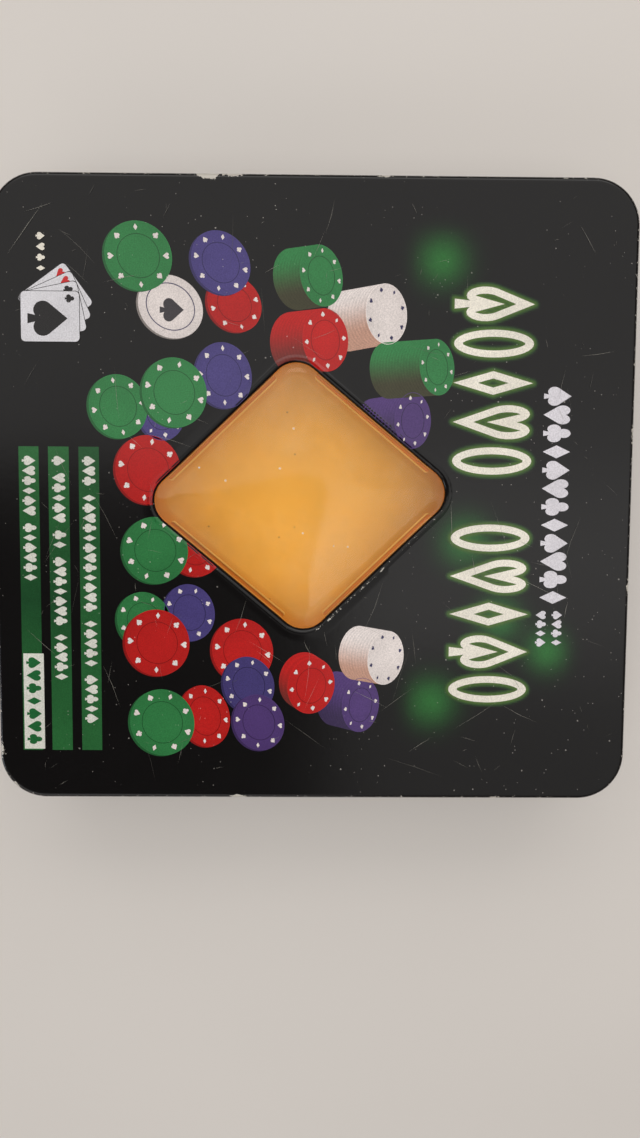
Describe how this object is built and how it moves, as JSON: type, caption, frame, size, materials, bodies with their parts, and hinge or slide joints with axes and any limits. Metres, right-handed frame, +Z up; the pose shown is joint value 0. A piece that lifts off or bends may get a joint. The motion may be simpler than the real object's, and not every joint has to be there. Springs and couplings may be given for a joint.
{
  "type": "poker chip tin",
  "caption": "Nearly square printed tin with a lift-off lid, a diamond window and a tray that holds poker chips on edge in four diagonal rows.",
  "frame": {"origin": "centre of the underside, on the surface that the tin stands on", "axes": "+Z up out of the lid, +Y towards the top edge of the lid's print, +X towards its right-hand edge"},
  "size_m": [0.2, 0.205, 0.046],
  "materials": {
    "printed_tin": "gloss varnish over black print, scratched",
    "black_tin": "gloss black lacquer outside, gold lacquer inside",
    "gold_tin": "gold lacquer, satin",
    "clear_plastic": "clear glossy plastic sheet",
    "gold_plastic": "satin metallised plastic sheet",
    "chip_green": "satin moulded plastic with suit pips on the face",
    "chip_red": "satin moulded plastic with suit pips on the face",
    "chip_blue": "satin moulded plastic with suit pips on the face",
    "chip_white": "satin moulded plastic with suit pips on the face"
  },
  "bodies": {
    "base": {"base_wall": "black_tin", "base_bottom": "gold_tin", "chip_tray": "gold_plastic", "tray_floor": "gold_plastic", "chips_green_1": "chip_green", "chips_green_2": "chip_green", "chips_green_3": "chip_green", "chips_green_4": "chip_green", "chips_green_5": "chip_green", "chips_red_1": "chip_red", "chips_red_2": "chip_red", "chips_red_3": "chip_red", "chips_red_4": "chip_red", "chips_red_5": "chip_red", "chips_blue_1": "chip_blue", "chips_blue_2": "chip_blue", "chips_blue_3": "chip_blue", "chips_blue_4": "chip_blue", "chips_blue_5": "chip_blue", "chips_white_1": "chip_white", "chips_white_2": "chip_white", "chips_white_3": "chip_white", "chips_white_4": "chip_white", "chips_white_5": "chip_white"},
    "lid": {"lid_shell": "printed_tin", "window_pane": "clear_plastic"}
  },
  "joints": [
    {"name": "lid_lift", "type": "slide", "parent": "base", "child": "lid", "axis": [0, 0, 1], "range_m": [0, 0.06]}
  ]
}
